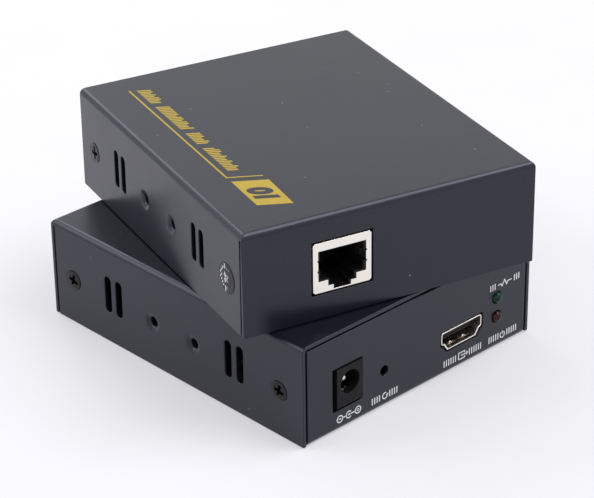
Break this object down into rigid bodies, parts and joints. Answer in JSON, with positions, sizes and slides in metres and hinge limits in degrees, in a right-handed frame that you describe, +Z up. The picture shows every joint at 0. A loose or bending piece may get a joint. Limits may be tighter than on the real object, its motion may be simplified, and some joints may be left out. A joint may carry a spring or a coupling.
{
  "type": "video extender pair",
  "caption": "Sheet-metal video extender set: a transmitter resting askew on its receiver, each with network, video and power sockets, vents and side bracket holes.",
  "frame": {"origin": "centre of the underside of the receiver, the lower unit", "axes": "+Z up; the receiver's socket panel faces -Y and its network socket +Y; the transmitter is turned 164 degrees about +Z on top of it"},
  "size_m": [0.1052, 0.1148, 0.0568],
  "materials": {
    "powder_coat": "satin charcoal powder coat on folded steel",
    "black_zinc": "black zinc on steel",
    "brass": "turned brass",
    "tin": "bright tin plate",
    "solder_mask": "green solder mask on glass epoxy",
    "plated_shield": "satin nickel plate",
    "black_plastic": "moulded black nylon",
    "gold": "gold plate",
    "green_lens": "clear green epoxy",
    "red_lens": "clear red epoxy",
    "chip_epoxy": "moulded black epoxy",
    "bare_aluminium": "bare aluminium",
    "thermal_pad": "soft silicone pad",
    "ferrite": "sintered ferrite",
    "seal_foil": "grey printed foil"
  },
  "bodies": {
    "receiver": {"receiver_cover": "powder_coat", "receiver_chassis": "powder_coat", "receiver_cover_screws": "black_zinc", "receiver_board_standoffs": "brass", "receiver_board_screws": "tin", "receiver_circuit_board": "solder_mask", "receiver_network_jack_shield": "plated_shield", "receiver_network_jack_housing": "black_plastic", "receiver_network_jack_contacts": "gold", "receiver_video_socket_shell": "plated_shield", "receiver_video_socket_tongue": "black_plastic", "receiver_video_socket_contacts": "gold", "receiver_power_jack_body": "black_plastic", "receiver_power_jack_pin": "tin", "receiver_power_jack_spring": "tin", "receiver_reset_switch_body": "black_plastic", "receiver_reset_switch_bracket": "tin", "receiver_status_light": "green_lens", "receiver_power_light": "red_lens", "receiver_light_holder": "black_plastic", "receiver_light_leads": "tin", "receiver_main_chip": "chip_epoxy", "receiver_heat_sink": "bare_aluminium", "receiver_thermal_pad": "thermal_pad", "receiver_support_chips": "chip_epoxy", "receiver_line_transformer": "chip_epoxy", "receiver_capacitors": "bare_aluminium", "receiver_inductors": "ferrite"},
    "receiver_button": {"receiver_reset_button": "black_plastic"},
    "transmitter": {"transmitter_cover": "powder_coat", "transmitter_chassis": "powder_coat", "transmitter_cover_screws": "black_zinc", "transmitter_board_standoffs": "brass", "transmitter_board_screws": "tin", "transmitter_circuit_board": "solder_mask", "transmitter_network_jack_shield": "plated_shield", "transmitter_network_jack_housing": "black_plastic", "transmitter_network_jack_contacts": "gold", "transmitter_video_socket_shell": "plated_shield", "transmitter_video_socket_tongue": "black_plastic", "transmitter_video_socket_contacts": "gold", "transmitter_power_jack_body": "black_plastic", "transmitter_power_jack_pin": "tin", "transmitter_power_jack_spring": "tin", "transmitter_reset_switch_body": "black_plastic", "transmitter_reset_switch_bracket": "tin", "transmitter_status_light": "green_lens", "transmitter_power_light": "red_lens", "transmitter_light_holder": "black_plastic", "transmitter_light_leads": "tin", "transmitter_main_chip": "chip_epoxy", "transmitter_heat_sink": "bare_aluminium", "transmitter_thermal_pad": "thermal_pad", "transmitter_support_chips": "chip_epoxy", "transmitter_line_transformer": "chip_epoxy", "transmitter_capacitors": "bare_aluminium", "transmitter_inductors": "ferrite", "transmitter_quality_seal": "seal_foil"},
    "transmitter_button": {"transmitter_reset_button": "black_plastic"}
  },
  "joints": [
    {"name": "transmitter_lift", "type": "slide", "parent": "receiver", "child": "transmitter", "axis": [0, 0, 1], "range_m": [0, 0.06]},
    {"name": "receiver_reset_press", "type": "slide", "parent": "receiver", "child": "receiver_button", "axis": [0, 1, 0], "range_m": [0, 0.00025], "stiffness_N_per_m": 6000},
    {"name": "transmitter_reset_press", "type": "slide", "parent": "transmitter", "child": "transmitter_button", "axis": [-0.2756, -0.9613, 0], "range_m": [0, 0.00025], "stiffness_N_per_m": 6000}
  ]
}
